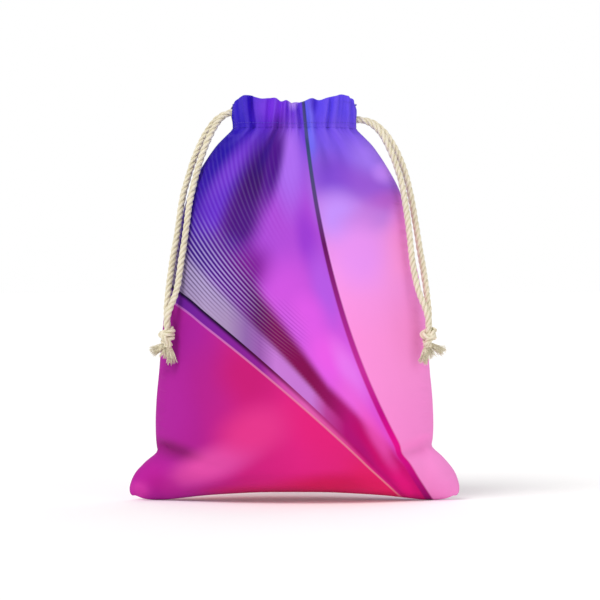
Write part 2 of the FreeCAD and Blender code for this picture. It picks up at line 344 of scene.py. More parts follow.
# each route starts inside the hem and ends in its knot
strandRoutes = {
    "left_cord_front_strand": [
        (-0.0866, -0.007, 0.697), (-0.103, -0.007, 0.6972), (-0.118, -0.007, 0.697), (-0.136, -0.009, 0.684),
        (-0.153, -0.013, 0.655), (-0.17, -0.018, 0.607), (-0.186, -0.027, 0.548), (-0.194, -0.035, 0.485),
        (-0.202, -0.041, 0.427), (-0.209, -0.049, 0.378), (-0.224, -0.055, 0.34), (-0.227, -0.0556, 0.325),
        (-0.227, -0.0556, 0.312)],
    "left_cord_back_strand": [
        (-0.0866, 0.007, 0.697), (-0.103, 0.007, 0.6968), (-0.118, 0.007, 0.697), (-0.14, 0.008, 0.688),
        (-0.161, 0.007, 0.66), (-0.181, 0.002, 0.615), (-0.2, -0.008, 0.552), (-0.209, -0.015, 0.488),
        (-0.219, -0.02, 0.427), (-0.226, -0.029, 0.377), (-0.228, -0.042, 0.341), (-0.227, -0.0444, 0.325),
        (-0.227, -0.0444, 0.312)],
    "right_cord_front_strand": [
        (0.0866, -0.007, 0.6845), (0.103, -0.007, 0.6847), (0.118, -0.007, 0.6845), (0.138, -0.009, 0.678),
        (0.159, -0.013, 0.656), (0.179, -0.018, 0.614), (0.195, -0.027, 0.56), (0.204, -0.035, 0.49),
        (0.21, -0.042, 0.432), (0.218, -0.049, 0.382), (0.235, -0.055, 0.342), (0.239, -0.0556, 0.326),
        (0.239, -0.0556, 0.312)],
    "right_cord_back_strand": [
        (0.0866, 0.007, 0.6845), (0.103, 0.007, 0.6843), (0.118, 0.007, 0.6845), (0.142, 0.008, 0.681),
        (0.168, 0.007, 0.657), (0.19, 0.002, 0.617), (0.207, -0.008, 0.562), (0.218, -0.015, 0.492),
        (0.228, -0.02, 0.432), (0.236, -0.029, 0.38), (0.24, -0.042, 0.342), (0.239, -0.0444, 0.326),
        (0.239, -0.0444, 0.312)],
}
knotTops = {"left": (-0.227, -0.05, 0.312), "right": (0.239, -0.05, 0.312)}
knot = {
    "radius": 0.01, "coreScale": 0.86, "wrapScale": 1.04, "tuckScale": 0.9, "ring": 10,
    "wrapPoints": 27, "wrapTurn": 3.5 * math.pi, "wrapDrop": 0.0195, "coreStep": 0.002, "wrapStep": 0.0017,
}
fray = {"fibres": 96, "yarnRadius": 0.00054, "rootSpread": 0.0036, "rootDepth": 0.0034}


def buildKnot(side):
    # two strands run down the middle, held by one and three quarter turns of the same cord and one tuck
    top = np.array(knotTops[side])
    sign = -1 if side == "left" else 1
    shell = newShell()
    for y, x, angle in ((-0.0056, 0.0, 0.4), (0.0056, 0.0, 2.0)):
        core = [(x, y, 0.004), (x, y * 0.9, -0.004), (sign * 0.001, y * 0.75, -0.016),
                (sign * -0.0005, y * 0.8, -0.026), (sign * 0.0015, y * 0.9, -0.036)]
        line = nurbsLine([tuple(top + p) for p in core], knot["coreStep"])
        layRope(shell, line, knot["coreScale"], angle, knot["ring"])
    wrap = []
    for share in np.linspace(0, 1, knot["wrapPoints"]).tolist():
        angle = sign * (-0.6 + share * knot["wrapTurn"])
        radius = knot["radius"] * (0.6 + 0.42 * math.sin(math.pi * min(1, share * 1.25 + 0.08)) ** 0.5)
        radius *= 1 - 0.16 * max(0, share - 0.6) / 0.4
        tiltLift = 0.0024 * math.sin(angle + 0.5)
        wrap.append((radius * 1.04 * math.cos(angle), radius * math.sin(angle),
                     -0.0058 - knot["wrapDrop"] * share + tiltLift))
    tuck = [(sign * 0.0075, -0.0045, -0.008), (sign * 0.0078, -0.0098, -0.0145),
            (sign * 0.0022, -0.0118, -0.0215), (sign * -0.0042, -0.0092, -0.0275),
            (sign * -0.0052, -0.0035, -0.0335)]
    for points, scale, angle in ((wrap, knot["wrapScale"], 1.1), (tuck, knot["tuckScale"], 0.2)):
        line = nurbsLine([tuple(top + p) for p in points], knot["wrapStep"])
        layRope(shell, line, scale, angle, knot["ring"])
    return shellPiece(f"{side}_overhand_knot", shell, cottonLook)


def buildFray(side):
    # each cut end opens into a fan of loose yarns
    top = np.array(knotTops[side])
    sign = -1 if side == "left" else 1
    shell = newShell()
    spread = random.Random(5 if side == "left" else 8)
    # root, tip, half width and half depth of each fan; the third lies between the other two and is thinner
    ends = (
        ((0.003, 0.003, -0.031), (0.03, 0.003, -0.0455), 0.0106, 0.0048),
        ((-0.002, -0.004, -0.031), (-0.0105, -0.006, -0.0665), 0.0098, 0.0034),
        ((0, 0, -0.032), (0.0075, -0.003, -0.056), 0.0085, 0.003),
    )
    for number, (root, tip, fan, flat) in enumerate(ends):
        root = root * np.array((sign, 1, 1))
        way = tip * np.array((sign, 1, 1)) - root
        length = np.linalg.norm(way)
        way = way / length
        across = np.cross(way, (0, 1, 0))
        across /= np.linalg.norm(across)
        out = np.cross(across, way)
        fibres = fray["fibres"] if number < 2 else fray["fibres"] // 2
        for index in range(fibres):
            bearing = spread.uniform(0, 2 * math.pi)
            rim = math.sqrt(spread.uniform(0.02, 1))
            a, b = rim * math.cos(bearing), rim * math.sin(bearing)
            reach = length * spread.uniform(0.78, 1.08) * (1 - 0.1 * rim)
            bend = spread.uniform(-0.0022, 0.0022)
            points = []
            for share in (0, 0.25, 0.5, 0.75, 1.0):
                wide = fray["rootSpread"] + (fan - fray["rootSpread"]) * share ** 1.6
                deep = fray["rootDepth"] + (flat + 0.002 - fray["rootDepth"]) * share ** 1.3
                curl = bend * math.sin(share * math.pi * 1.3 + bearing)
                points.append(top + root + way * reach * share + across * (a * wide + curl)
                              + out * (b * deep + 0.6 * curl))
            line = evenLine(np.array(points), length / 6)
            taper = np.linspace(1.0, 0.45, len(line)) * fray["yarnRadius"] * spread.uniform(0.8, 1.35)
            addTube(shell, line, taper, 4, lane=float(index))
    return shellPiece(f"{side}_frayed_ends", shell, frayLook)


def buildCords():
    for side, sign in (("left", -1), ("right", 1)):
        knotPiece = buildKnot(side)
        frayPiece = buildFray(side)
        for piece, node, finish in ((knotPiece, f"{side}_knot", "cotton_cord"),
                                    (frayPiece, f"{side}_cord_ends", "frayed_cotton")):
            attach(piece, f"{side}_cord_loop")
            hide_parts(node)
        for layer, y in (("front", -0.007), ("back", 0.007)):
            node = f"{side}_cord_{layer}_strand"
            route = strandRoutes[node]
            line = nurbsLine(route, rope["step"])
            shell = newShell()
            layRope(shell, line, 1.0, 0.7 if layer == "front" else 2.3)
            strand = shellPiece(f"{side}_{layer}_cord", shell, cottonLook)
            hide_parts(node)
            if layer == "front":
                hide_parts(f"{side}_cord_exit_run")
            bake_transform(strand)
            print(strand.name, "length", round(lineLength(line), 3))


buildCords()
print("cords ready")

bag = {
    "columns": 201, "underRows": 22, "bodyRows": 132, "samples": 700,
    "underHeight": 0.052, "underRound": 2.6, "cornerHeight": 0.008, "neckHeight": 0.668, "neckWidth": 0.111,
    "leftPinch": 0.09, "rightPinch": 0.099, "straightFrom": 0.135,
    "lobeThickness": 0.036, "lobeFrom": 0.236, "bulgeReach": 0.2465,
    "flatWidth": 0.6, "clothThickness": 0.0006, "threadSpacing": 0.0009, "printHeight": 0.74,
    "fullFold": 0.0062,
}
hemShape = {
    "steps": 61, "topHeight": 0.7205, "holeHeight": 0.6908, "holeHalfHeight": 0.019, "holeHalfWidth": 0.0156,
    "roomForCord": 0.0042, "facingFrom": 1.12, "facingHalfWidth": 0.047, "facingRim": 0.7075,
}


def curveThrough(points):
    # a smooth curve through a few given points, held level past both ends
    at = np.array([p[0] for p in points], dtype=float)
    value = np.array([p[1] for p in points], dtype=float)
    slope = np.gradient(value, at)

    def look(x):
        x = np.clip(x, at[0], at[-1])
        n = np.clip(np.searchsorted(at, x) - 1, 0, len(at) - 2)
        span = at[n + 1] - at[n]
        t = (x - at[n]) / span
        return ((1 + 2 * t) * (1 - t) ** 2 * value[n] + t * (1 - t) ** 2 * span * slope[n]
                + t * t * (3 - 2 * t) * value[n + 1] + t * t * (t - 1) * span * slope[n + 1])
    return look


def smoothStep(low, high, x):
    t = np.clip((x - low) / (high - low), 0, 1)
    return t * t * (3 - 2 * t)


# half widths of the filled bag from the pinch above the corners up to the hem
bodyWidth = curveThrough([
    (0.094, 0.2462), (0.101, 0.2478), (0.113, 0.2492), (0.135, 0.25), (0.18, 0.2485), (0.234, 0.2435),
    (0.29, 0.239), (0.35, 0.2325), (0.4, 0.224), (0.45, 0.213), (0.49, 0.2055), (0.531, 0.1968),
    (0.56, 0.1875), (0.594, 0.1695), (0.62, 0.153), (0.64, 0.138), (0.655, 0.123), (0.668, 0.111),
    (0.68, 0.1125), (0.697, 0.1138), (0.712, 0.1105), (0.728, 0.104)])
# half widths of the two corner lobes, as shares of the pinch height
lobeWidth = curveThrough([
    (0.00, 0.285), (0.06, 0.2905), (0.12, 0.295), (0.22, 0.297), (0.36, 0.2945), (0.54, 0.287),
    (0.7, 0.2765), (0.84, 0.264), (0.94, 0.252), (1.00, 0.2462)])
bodyDepth = curveThrough([
    (0.000, 0.098), (0.05, 0.112), (0.098, 0.121), (0.19, 0.126), (0.25, 0.124), (0.31, 0.121),
    (0.37, 0.116), (0.43, 0.108), (0.49, 0.099), (0.545, 0.087), (0.594, 0.075), (0.63, 0.064),
    (0.654, 0.056), (0.668, 0.052), (0.68, 0.053), (0.697, 0.054), (0.712, 0.052), (0.728, 0.047)])
# the bottom seam hangs lowest near the corners
seamHeight = curveThrough([
    (0.000, 0.0155), (0.06, 0.015), (0.12, 0.012), (0.17, 0.0082), (0.206, 0.0038), (0.238, 0.0005),
    (0.262, 0.0006), (0.278, 0.0032), (0.29, 0.008)])
topEdge = {
    "front": curveThrough([
        (-0.114, 0.708), (-0.104, 0.7185), (-0.092, 0.7245), (-0.083, 0.7262), (-0.069, 0.7225),
        (-0.058, 0.7195), (-0.045, 0.7205), (-0.032, 0.72), (-0.025, 0.7148), (-0.013, 0.7165),
        (-0.005, 0.7112),
        (0.012, 0.713), (0.033, 0.72), (0.044, 0.7168), (0.058, 0.7212), (0.072, 0.7245), (0.083, 0.7275),
        (0.096, 0.724), (0.106, 0.718), (0.114, 0.708)]),
    "back": curveThrough([
        (-0.114, 0.708), (-0.1, 0.717), (-0.08, 0.7215), (-0.062, 0.716), (-0.04, 0.7205),
        (-0.02, 0.715), (0.004, 0.719), (0.028, 0.7135), (0.05, 0.7195), (0.07, 0.7165), (0.09, 0.722),
        (0.104, 0.7165), (0.114, 0.708)]),
}
# each fold: where it leaves the neck, where it ends (aside, height), half width above and below, depth
folds = {
    "front": [
        ((-0.101, 0.6, -0.165), 0.0075, 0.02, 0.003), ((-0.0875, 0.64, -0.118), 0.0045, 0.01, 0.0014),
        ((-0.073, 0.59, -0.118), 0.0052, 0.02, 0.0066), ((-0.061, 0.65, -0.07), 0.003, 0.006, 0.0022),
        ((-0.0495, 0.6, -0.078), 0.0048, 0.014, 0.0056), ((-0.04, 0.648, -0.048), 0.0032, 0.006, 0.0028),
        ((-0.03, 0.45, -0.122), 0.005, 0.04, 0.0078), ((-0.0215, 0.65, -0.026), 0.003, 0.006, 0.0032),
        ((-0.013, 0.56, -0.036), 0.0042, 0.02, 0.0052), ((-0.002, 0.64, -0.004), 0.0036, 0.008, 0.0036),
        ((0.0095, 0.59, 0.024), 0.0044, 0.016, 0.0048), ((0.025, 0.65, 0.031), 0.0034, 0.007, 0.0024),
        ((0.039, 0.5, 0.064), 0.0052, 0.032, 0.0062), ((0.05, 0.645, 0.06), 0.0036, 0.008, 0.0026),
        ((0.06, 0.56, 0.098), 0.005, 0.026, 0.0064), ((0.072, 0.65, 0.082), 0.004, 0.008, 0.002),
        ((0.084, 0.54, 0.15), 0.0062, 0.028, 0.0042), ((0.1, 0.6, 0.166), 0.0062, 0.018, 0.0034),
    ],
    "back": [
        ((-0.096, 0.56, -0.165), 0.0065, 0.026, 0.004), ((-0.08, 0.61, -0.11), 0.005, 0.014, 0.005),
        ((-0.066, 0.64, -0.08), 0.0036, 0.008, 0.0028), ((-0.053, 0.5, -0.11), 0.0054, 0.034, 0.0066),
        ((-0.038, 0.61, -0.05), 0.0042, 0.012, 0.0046), ((-0.025, 0.645, -0.03), 0.0034, 0.007, 0.003),
        ((-0.012, 0.54, -0.024), 0.005, 0.026, 0.0062), ((0.003, 0.63, 0.004), 0.004, 0.009, 0.0036),
        ((0.018, 0.52, 0.04), 0.0052, 0.03, 0.006), ((0.031, 0.64, 0.038), 0.0034, 0.008, 0.003),
        ((0.044, 0.6, 0.062), 0.0046, 0.014, 0.0052), ((0.059, 0.48, 0.12), 0.0056, 0.036, 0.0064),
        ((0.073, 0.63, 0.088), 0.004, 0.01, 0.0034), ((0.088, 0.58, 0.138), 0.006, 0.02, 0.0048),
        ((0.102, 0.6, 0.16), 0.0056, 0.014, 0.003),
    ],
}
# soft dents in the filled part: place (aside, height), half length, half width, turn in degrees, depth
dents = {
    "front": [(-0.222, 0.088, 0.06, 0.012, -16, 0.011), (0.224, 0.096, 0.06, 0.013, 18, 0.011),
              (-0.15, 0.052, 0.07, 0.016, 14, 0.003), (0.16, 0.06, 0.07, 0.018, -12, 0.003),
              (-0.19, 0.33, 0.07, 0.02, 78, 0.003), (0.198, 0.3, 0.08, 0.02, -80, 0.003),
              (0.06, 0.33, 0.13, 0.03, -64, 0.003), (-0.06, 0.2, 0.12, 0.03, -40, 0.002)],
    "back": [(-0.222, 0.088, 0.062, 0.013, -14, 0.011), (0.224, 0.096, 0.058, 0.012, 16, 0.011),
             (-0.1, 0.3, 0.13, 0.03, 68, 0.003), (0.09, 0.24, 0.14, 0.034, -50, 0.003),
             (0.19, 0.35, 0.07, 0.02, -80, 0.003)],
}


def halfWidth(height, right):
    pinch = np.where(right, bag["rightPinch"], bag["leftPinch"])
    # the width curve starts at 0.094, so below straightFrom each side is stretched to meet its own pinch
    stretch = (bag["straightFrom"] - 0.094) / (bag["straightFrom"] - pinch)
    lifted = 0.094 + (height - pinch) * stretch
    body = bodyWidth(np.where(height < bag["straightFrom"], lifted, height))
    return np.where(height < pinch, lobeWidth(height / pinch), body)


def rowShape(height, climb):
    # one level of the bag seen from above: from the left seam over the panel's crown to the right seam
    samples = bag["samples"]
    x = np.sin(np.linspace(-math.pi / 2, math.pi / 2, samples))
    right = x > 0
    width = halfWidth(np.full(samples, height), right)
    pinch = np.where(right, bag["rightPinch"], bag["leftPinch"])
    x = x * width
    squareness = 2.2 + 0.4 * smoothStep(0.59, 0.66, height)
    crown = 0.75 - 0.25 * smoothStep(0.53, 0.665, height)
    under = 1 - (1 - min(climb / bag["underHeight"], 1.0)) ** bag["underRound"]
    under = under ** (1 / bag["underRound"])
    reach = np.where(height < pinch, np.minimum(width, bag["bulgeReach"]), width)
    bulge = bodyDepth(height) * under * np.maximum(0, 1 - np.abs(x / reach) ** squareness) ** crown
    lobe = np.clip(climb / (pinch + 0.004), 0, 1)
    thick = bag["lobeThickness"] * np.sin(math.pi * lobe) ** 0.62
    start = bag["lobeFrom"]
    past = np.clip((np.abs(x) - start) / np.maximum(width - start, 1e-4), 0, 1)
    thick = thick * np.maximum(0, 1 - past ** 2.1) ** 0.6 * smoothStep(0.145, 0.225, np.abs(x))
    return x, (bulge ** 3 + thick ** 3) ** (1 / 3)


def foldDepth(layer, x, height, width):
    # how far the cloth sinks at a place, from the gathers and the soft dents
    total = np.zeros_like(x)
    share = x / width
    for (top, lowHeight, low), narrow, wide, depth in folds[layer]:
        t = np.clip((bag["neckHeight"] - height) / (bag["neckHeight"] - lowHeight), 0, 1)
        lowWidth = halfWidth(lowHeight, low > 0)
        middle = top / bag["neckWidth"] * (1 - t) + low / lowWidth * t
        half = narrow / bag["neckWidth"] * (1 - t) + wide / lowWidth * t
        total += depth * (1 - t) ** 1.25 * np.exp(-((share - middle) / half) ** 2)
    for dx, dz, long, short, turn, depth in dents[layer]:
        angle = math.radians(turn)
        a = (x - dx) * math.cos(angle) + (height - dz) * math.sin(angle)
        b = -(x - dx) * math.sin(angle) + (height - dz) * math.cos(angle)
        total += depth * np.exp(-(a / long) ** 2 - (b / short) ** 2)
    # short puckers drawn in by the side seams
    rim = np.exp(-(((1 - np.abs(share)) * width - 0.011) / 0.009) ** 2)
    beat = 2 * math.pi * height / 0.021 + 2.2 * math.sin(height * 37 + (0 if layer == "front" else 2))
    total += 0.0011 * rim * (np.sin(beat + x * 60) + 0.5 * math.sin(beat * 1.61))
    # fine irregular gathers between the big ones, right at the stitched line
    near = math.exp(-(abs(height - bag["neckHeight"]) / 0.016) ** 1.5)
    warp = share * 52 + 3.0 * np.sin(share * 5.3 + (1 if layer == "front" else 4))
    total += 0.0009 * near * (np.sin(warp) + 0.6 * np.sin(1.73 * warp + 2))
    # between the folds the gathered cloth stands proud of the line it is drawn to
    lift = 0.0012 + 0.003 * math.exp(-((height - bag["neckHeight"]) / 0.045) ** 2)
    total -= lift * smoothStep(0.58, 0.66, height)
    return total * np.clip((1 - np.abs(share)) / 0.06, 0, 1) ** 0.7


def evenRow(x, y, columns, gap=0):
    # points at even cloth distances along one level
    travel = travelAlong(np.stack([x, y], axis=1))
    stops = np.linspace(gap, travel[-1] - gap, columns)
    return np.interp(stops, travel, x), np.interp(stops, travel, y)


def outward(x, y):
    # the level direction out of the bag at each point of a row
    nx, ny = -np.gradient(y), np.gradient(x)
    size = np.maximum(np.hypot(nx, ny), 1e-9)
    return nx / size, ny / size


def panelGrid(layer):
    # rows climb from the bottom seam to the stitched line under the hem
    side = -1 if layer == "front" else 1
    columns = bag["columns"]
    swing = np.linspace(0, math.pi / 2, bag["underRows"])
    climbs = bag["underHeight"] * (1 - np.cos(swing) ** (2 / bag["underRound"]))
    full = bag["neckHeight"] - bag["cornerHeight"]
    climbs = np.concatenate([climbs, np.linspace(bag["underHeight"], full, bag["bodyRows"] + 1)[1:]])
    grid, printed = [], []
    for climb in climbs:
        height = bag["cornerHeight"] + climb
        x, y = evenRow(*rowShape(height, climb), columns)
        sag = 1 - smoothStep(0, 0.12, climb)
        z = height + (seamHeight(np.abs(x) * 0.29 / 0.286) - bag["cornerHeight"]) * sag
        outX, outY = outward(x, y)
        width = halfWidth(np.full(columns, height), x > 0)
        sink = foldDepth(layer, x, height, width) * min(1.0, climb / 0.03)
        depth = np.maximum(y - sink * outY, 0)
        grid.append(np.stack([x - sink * outX, side * depth, z], axis=1))
        # near the neck the fold's depth is kept as a third value, for the painted shade in the valleys and
        # the painted highlight on the ridges
        near = smoothStep(0.5, 0.64, height)
        printed.append(np.stack([x, z, near * sink / bag["fullFold"]], axis=1))
    return np.array(grid), np.array(printed)


# how deep a fold may go in the hem before it would touch the cord behind it
cordRoom = curveThrough([(0, 0.01), (0.045, 0.0082), (0.06, 0.0044), (0.076, 0.0014), (0.088, 0.0034),
                         (0.098, 0.007), (0.112, 0.007)])
hemHeight = curveThrough([(0, 0), (0.5, 0.5), (0.75, 0.83), (0.9, 0.965), (1, 1), (1.1, 0.965), (1.3, 0.8),
                          (1.55, 0.5), (1.8, 0.16), (2, 0.0)])
hemInward = curveThrough([(0, 0), (0.75, 0), (0.9, 0.0014), (1, 0.0044), (1.1, 0.0082), (1.3, 0.016),
                          (1.55, 0.0212), (1.8, 0.015), (2, 0.004)])


def hemGrid(layer):
    # one strip of cloth up the outside, over the top edge and down the inside, round the cords
    side = -1 if layer == "front" else 1
    columns = bag["columns"]
    grid, printed, facing = [], [], []
    for step in np.linspace(0, 2, hemShape["steps"]):
        share = hemHeight(step)
        middle = bag["neckHeight"] + (hemShape["topHeight"] - bag["neckHeight"]) * share
        # at each side the outer layer stops short of the seam and leaves an oval hole for the cord
        hole = 1 - ((middle - hemShape["holeHeight"]) / hemShape["holeHalfHeight"]) ** 2
        gap = hemShape["holeHalfWidth"] * math.sqrt(hole) if step < 1 and hole > 0 else 0
        x, y = evenRow(*rowShape(middle, 1.0), columns, gap)
        top = topEdge[layer](x)
        z = bag["neckHeight"] + (top - bag["neckHeight"]) * share
        outX, outY = outward(x, y)
        hold = 1 - 0.35 * (smoothStep(0.75, 1.4, step) - smoothStep(1.6, 1.95, step))
        rise = math.sin(math.pi * step / 2) ** 2
        wander = 0.005 * rise * np.sin(x * 62 + (0.6 if layer == "front" else 2.4))
        sink = foldDepth(layer, x + wander, bag["neckHeight"], bag["neckWidth"] * np.ones(columns)) * hold
        sink = sink * (1 + rise * (0.3 + 0.35 * np.sin(x * 95 + step * 2.2)))
        sink -= 0.0016 * rise * (1 + np.sin(x * 210 + 1)) * np.clip((0.113 - np.abs(x)) / 0.02, 0, 1)
        # the casing stands proud round its cords, and its folds stop short of them
        proud = hemShape["roomForCord"] * rise * np.exp(-((np.abs(x) - 0.074) / 0.024) ** 2)
        guard = smoothStep(0.0, 0.15, step) - smoothStep(1.75, 1.95, step)
        sink += guard * (np.minimum(sink, cordRoom(np.abs(x)) + proud) - sink)
        shift = sink - proud + hemInward(step)
        grid.append(np.stack([x - shift * outX, side * (y - shift * outY), z], axis=1))
        depth = z if step <= 1 else 2 * top - z
        # the third value, the fold's depth, feeds the painted shade in the valleys and the painted highlight
        # on the ridges
        printed.append(np.stack([x, depth, sink / bag["fullFold"]], axis=1))
        facing.append(step > hemShape["facingFrom"])
    return np.array(grid), np.array(printed), facing


# the print's soft patches, in metres on the panel: place, half sizes, turn in degrees, colour, strength; a
# few are painted shade and painted highlight, marked where they stand
fanPatches = [
    (0.000, 0.5, 0.11, 0.12, 0, "B44ED6", 0.75), (-0.01, 0.61, 0.036, 0.11, 3, "A86AEA", 0.95),
    (-0.14, 0.61, 0.075, 0.13, -26, "2410A0", 1.00), (-0.098, 0.705, 0.055, 0.055, 0, "2008B8", 1.00),
    (-0.034, 0.7, 0.046, 0.045, 0, "7830DC", 0.85), (-0.176, 0.52, 0.05, 0.13, -14, "3A18A8", 0.9),
    (-0.112, 0.59, 0.024, 0.105, -36, "7238CE", 0.95), (-0.146, 0.5, 0.03, 0.08, -24, "6830CC", 0.85),
    (-0.076, 0.56, 0.036, 0.13, -22, "3A0C64", 1.00), (-0.098, 0.49, 0.042, 0.08, -20, "48107A", 0.95),
    (-0.037, 0.606, 0.02, 0.092, -9, "4A1086", 1.00), (-0.12, 0.43, 0.06, 0.05, -35, "54209C", 0.9),
    (-0.18, 0.43, 0.06, 0.06, -40, "3A1C80", 0.8), (-0.086, 0.41, 0.05, 0.06, -40, "7A1890", 0.95),
    (0.022, 0.468, 0.022, 0.07, 10, "9438CC", 0.85), (0.04, 0.56, 0.022, 0.08, 10, "A868E0", 0.8),
    (-0.01, 0.37, 0.055, 0.08, 0, "CC54DC", 0.85), (0.054, 0.385, 0.028, 0.08, 14, "B058E0", 0.85),
    (0.026, 0.33, 0.036, 0.05, 20, "DC5AE4", 0.8), (0.062, 0.26, 0.036, 0.06, 30, "E85CE4", 0.9),
    (0.098, 0.235, 0.022, 0.07, 28, "E67CEE", 0.75), (0.104, 0.18, 0.026, 0.06, 32, "EA66DC", 0.85),
    # painted highlight on a collar fold's ridge beside the drawn line
    (-0.003, 0.712, 0.01, 0.016, 0, "B690EC", 0.85),
]
cornerPatches = [
    (0.126, 0.12, 0.05, 0.016, -50, "B8086C", 0.9), (0.16, 0.072, 0.07, 0.018, -55, "CC0A70", 0.95),
    (0.196, 0.03, 0.05, 0.016, -56, "E0147E", 0.95), (0.146, 0.12, 0.016, 0.075, 30, "F058C0", 0.7),
]
rightPatches = [
    (0.07, 0.7, 0.07, 0.045, 0, "5E46E6", 0.85), (0.026, 0.67, 0.012, 0.075, 6, "6C6AF0", 0.95),
    (0.1, 0.64, 0.08, 0.04, -30, "7E56E4", 0.8), (0.072, 0.58, 0.06, 0.05, -10, "7C46CE", 0.9),
    (0.14, 0.61, 0.06, 0.04, -38, "A67AF2", 0.8), (0.14, 0.56, 0.07, 0.036, -24, "9654D2", 0.8),
    (0.176, 0.536, 0.056, 0.026, 6, "C060C8", 0.6), (0.078, 0.508, 0.044, 0.056, 14, "C090F8", 0.9),
    (0.13, 0.5, 0.06, 0.03, 4, "BE78DC", 0.6), (0.205, 0.5, 0.04, 0.07, -20, "F288DE", 0.9),
    (0.19, 0.44, 0.06, 0.06, 0, "FA96DA", 0.8), (0.116, 0.44, 0.06, 0.07, 10, "E692F0", 0.9),
    (0.225, 0.15, 0.07, 0.08, 0, "F88CD4", 0.6), (0.25, 0.05, 0.06, 0.06, 0, "F08CCE", 0.8),
    (0.2, 0.28, 0.06, 0.12, 0, "FA92D6", 0.6), (0.162, 0.588, 0.026, 0.022, 0, "C488FA", 0.8),
    # painted shade in a collar fold's valley
    (0.034, 0.712, 0.009, 0.022, 0, "3A20C0", 0.8),
]
lowerPatches = [
    (-0.205, 0.29, 0.075, 0.09, 0, "A6209A", 0.9), (-0.15, 0.23, 0.06, 0.07, 0, "B0208A", 0.6),
    (-0.08, 0.228, 0.07, 0.06, -30, "C21A72", 0.85), (-0.235, 0.17, 0.06, 0.11, 0, "B0249C", 0.85),
    # the first is painted shade in the crease above the left corner lobe, the second a painted highlight low
    # on the left of the bag
    (-0.215, 0.092, 0.06, 0.02, -14, "8E1C70", 0.8), (-0.145, 0.07, 0.1, 0.036, 22, "E04EA8", 0.95),
    (-0.07, 0.13, 0.08, 0.05, 20, "E2388C", 0.85), (-0.262, 0.045, 0.05, 0.036, 20, "BA2098", 0.8),
    # the first is a painted highlight on the left corner lobe
    (-0.278, 0.02, 0.024, 0.02, 0, "D23AA8", 0.8), (-0.235, 0.03, 0.04, 0.02, -20, "B41E8E", 0.6),
    (0.05, 0.14, 0.09, 0.06, -40, "E02078", 0.7), (0.07, 0.034, 0.13, 0.026, 4, "CE1858", 0.85),
    (0.15, 0.04, 0.07, 0.03, -30, "E01E66", 0.8), (-0.06, 0.02, 0.12, 0.014, 0, "C21C60", 0.7),
]
# faint ribs drawn in the print: place, half sizes, turn, how strongly the light and the dark lines show
ribZones = [
    (-0.165, 0.42, 0.11, 0.075, -42, 0.7, 0.66), (-0.1, 0.378, 0.08, 0.04, -45, 0.36, 0.52),
    (-0.11, 0.54, 0.11, 0.12, -20, 0.07, 0.13), (-0.03, 0.31, 0.06, 0.05, -45, 0.1, 0.3),
]


def blendStops(value, stops):
    colours = np.array([tint(colour) for place, colour in stops])
    places = [place for place, colour in stops]
    return np.stack([np.interp(value, places, colours[:, n]) for n in range(4)], axis=1)


def softSpot(x, z, atX, atZ, wide, tall, turn):
    angle = math.radians(turn)
    a = ((x - atX) * math.cos(angle) + (z - atZ) * math.sin(angle)) / (wide * 1.25)
    b = ((z - atZ) * math.cos(angle) - (x - atX) * math.sin(angle)) / (tall * 1.25)
    return smoothStep(0, 0.85, np.maximum(0, 1 - np.hypot(a, b)))


def blotted(colours, x, z, patches):
    for *patch, colour, strength in patches:
        weight = strength * softSpot(x, z, *patch)[:, None]
        colours = colours * (1 - weight) + np.array(tint(colour)) * weight
    return colours


